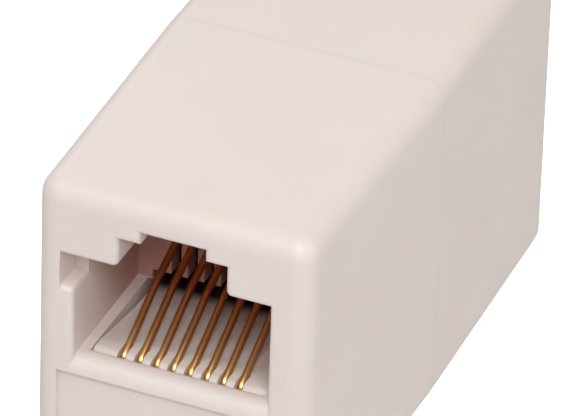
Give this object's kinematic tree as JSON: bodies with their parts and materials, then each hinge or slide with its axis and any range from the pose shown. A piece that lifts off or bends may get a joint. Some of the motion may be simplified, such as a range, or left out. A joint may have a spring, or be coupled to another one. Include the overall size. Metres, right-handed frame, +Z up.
{
  "type": "rj45 inline coupler",
  "caption": "Inline network coupler: two moulded half housings with a keyed eight-way modular jack at each end, wired straight through.",
  "frame": {"origin": "bottom centre of the housing, on the surface it lies on", "axes": "+Z up, +Y from the front mouth to the rear mouth, +X across the width"},
  "size_m": [0.0172, 0.0376, 0.022],
  "materials": {
    "housing": "satin moulded",
    "carrier": "satin moulded",
    "contact": "thin gold plating",
    "lead_blue": "extruded insulation",
    "lead_orange": "extruded insulation",
    "lead_black": "extruded insulation",
    "lead_red": "extruded insulation",
    "lead_green": "extruded insulation",
    "lead_yellow": "extruded insulation",
    "lead_brown": "extruded insulation",
    "lead_white": "extruded insulation"
  },
  "bodies": {
    "root": {"front_shell": "housing", "front_carrier": "carrier", "front_contact_1": "contact", "front_contact_2": "contact", "front_contact_3": "contact", "front_contact_4": "contact", "front_contact_5": "contact", "front_contact_6": "contact", "front_contact_7": "contact", "front_contact_8": "contact", "rear_shell": "housing", "rear_carrier": "carrier", "rear_contact_1": "contact", "rear_contact_2": "contact", "rear_contact_3": "contact", "rear_contact_4": "contact", "rear_contact_5": "contact", "rear_contact_6": "contact", "rear_contact_7": "contact", "rear_contact_8": "contact", "link_wire_1": "lead_blue", "link_wire_2": "lead_orange", "link_wire_3": "lead_black", "link_wire_4": "lead_red", "link_wire_5": "lead_green", "link_wire_6": "lead_yellow", "link_wire_7": "lead_brown", "link_wire_8": "lead_white"}
  },
  "joints": []
}
